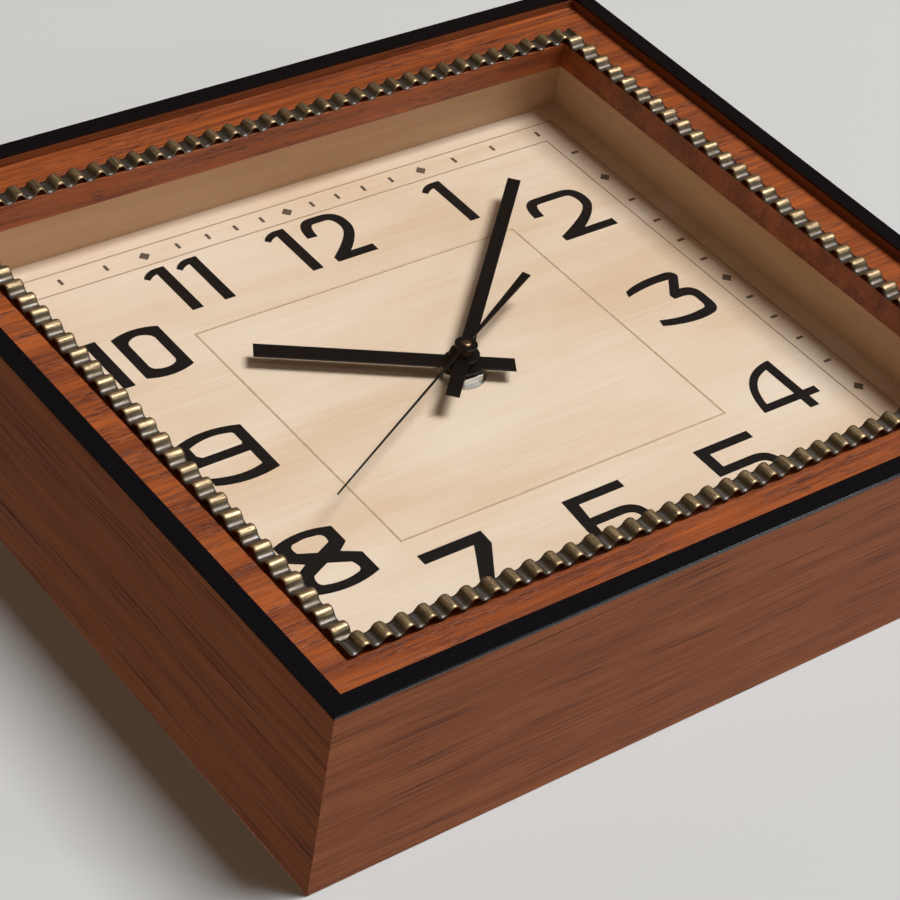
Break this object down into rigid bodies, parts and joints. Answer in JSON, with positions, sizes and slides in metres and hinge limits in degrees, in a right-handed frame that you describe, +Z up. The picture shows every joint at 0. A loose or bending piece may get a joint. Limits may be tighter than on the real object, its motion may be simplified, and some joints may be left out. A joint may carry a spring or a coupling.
{
  "type": "desk clock",
  "caption": "Landscape wooden clock case with black edging, a corrugated brass ribbon round the window, a pale wooden dial and working hands.",
  "frame": {"origin": "middle of the flat base the clock stands on", "axes": "+Z up, the dial faces -Y, +X to the right as seen from the front"},
  "size_m": [0.25, 0.0586, 0.224],
  "materials": {
    "side_veneer": "satin veneer",
    "panel_veneer": "satin veneer",
    "black_edging": "satin black",
    "aged_brass": "aged",
    "window_glass": "clear",
    "pale_wood": "matt",
    "dial_veneer": "matt",
    "black_ink": "printed",
    "grey_ink": "printed",
    "hand_black": "satin black",
    "back_wood": "raw board",
    "steel": "bright",
    "movement_plastic": "moulded",
    "wheel_plastic": "moulded",
    "rubber": "matt",
    "brass": "turned",
    "circuit_green": "board",
    "copper_wire": "enamelled wire",
    "rotor_metal": "magnet",
    "battery_jacket": "jacket"
  },
  "bodies": {
    "case": {"left_side_board": "side_veneer", "right_side_board": "side_veneer", "top_board": "side_veneer", "bottom_board": "side_veneer", "left_edging": "black_edging", "right_edging": "black_edging", "top_edging": "black_edging", "bottom_edging": "black_edging", "front_panel": "panel_veneer", "left_brass_ribbon": "aged_brass", "right_brass_ribbon": "aged_brass", "top_brass_ribbon": "aged_brass", "bottom_brass_ribbon": "aged_brass", "window_glass": "window_glass", "left_liner": "pale_wood", "right_liner": "pale_wood", "top_liner": "pale_wood", "bottom_liner": "pale_wood", "dial_board": "dial_veneer", "hour_numerals": "black_ink", "minute_track": "grey_ink", "centre_rectangle": "grey_ink", "corner_blocks": "pale_wood", "back_board": "back_wood", "back_screws": "steel", "movement_case": "movement_plastic", "movement_cover": "movement_plastic", "rubber_gasket": "rubber", "centre_bush": "brass", "centre_washer": "steel", "centre_nut": "steel", "train_bridge": "wheel_plastic", "circuit_board": "circuit_green", "quartz_crystal": "steel", "coil": "copper_wire", "stator": "steel", "positive_contact": "steel", "negative_contact": "steel"},
    "minute_hand": {"minute_hand": "hand_black", "minute_pipe": "brass"},
    "hour_hand": {"hour_hand": "hand_black", "hour_wheel": "wheel_plastic"},
    "motion_wheel": {"motion_wheel": "wheel_plastic"},
    "setting_knob": {"setting_knob": "movement_plastic"},
    "second_hand": {"second_hand": "hand_black", "seconds_wheel": "wheel_plastic"},
    "third_wheel": {"third_wheel": "wheel_plastic"},
    "centre_wheel": {"centre_wheel": "wheel_plastic"},
    "fifth_wheel": {"fifth_wheel": "wheel_plastic"},
    "rotor": {"rotor": "rotor_metal"},
    "battery": {"battery": "battery_jacket"}
  },
  "joints": [
    {"name": "minute_hand_turn", "type": "hinge", "parent": "case", "child": "minute_hand", "pos_m": [0, 0, 0.112], "axis": [0, 1, 0], "continuous": true},
    {"name": "hour_hand_turn", "type": "hinge", "parent": "case", "child": "hour_hand", "pos_m": [0, 0, 0.112], "axis": [0, 1, 0], "continuous": true},
    {"name": "motion_wheel_turn", "type": "hinge", "parent": "case", "child": "motion_wheel", "pos_m": [-0.01, 0, 0.112], "axis": [0, 1, 0], "continuous": true},
    {"name": "setting_knob_turn", "type": "hinge", "parent": "case", "child": "setting_knob", "pos_m": [-0.0205, 0, 0.112], "axis": [0, 1, 0], "continuous": true},
    {"name": "second_hand_turn", "type": "hinge", "parent": "case", "child": "second_hand", "pos_m": [0, 0, 0.112], "axis": [0, 1, 0], "continuous": true},
    {"name": "third_wheel_turn", "type": "hinge", "parent": "case", "child": "third_wheel", "pos_m": [0.0101, 0, 0.11342], "axis": [0, 1, 0], "continuous": true},
    {"name": "centre_wheel_turn", "type": "hinge", "parent": "case", "child": "centre_wheel", "pos_m": [0, 0, 0.112], "axis": [0, 1, 0], "continuous": true},
    {"name": "fifth_wheel_turn", "type": "hinge", "parent": "case", "child": "fifth_wheel", "pos_m": [-0.00125, 0, 0.11909], "axis": [0, 1, 0], "continuous": true},
    {"name": "rotor_turn", "type": "hinge", "parent": "case", "child": "rotor", "pos_m": [-0.00247, 0, 0.12598], "axis": [0, 1, 0], "continuous": true},
    {"name": "battery_slide", "type": "slide", "parent": "case", "child": "battery", "axis": [0, 1, 0], "range_m": [0, 0.04]}
  ],
  "couplings": [
    {"joint": "hour_hand_turn", "follows": "minute_hand_turn", "ratio": 0.083333},
    {"joint": "motion_wheel_turn", "follows": "minute_hand_turn", "ratio": -0.33333},
    {"joint": "setting_knob_turn", "follows": "minute_hand_turn", "ratio": 0.83333},
    {"joint": "third_wheel_turn", "follows": "second_hand_turn", "ratio": -0.125},
    {"joint": "centre_wheel_turn", "follows": "second_hand_turn", "ratio": 0.016667},
    {"joint": "fifth_wheel_turn", "follows": "second_hand_turn", "ratio": -5},
    {"joint": "rotor_turn", "follows": "second_hand_turn", "ratio": 30}
  ]
}
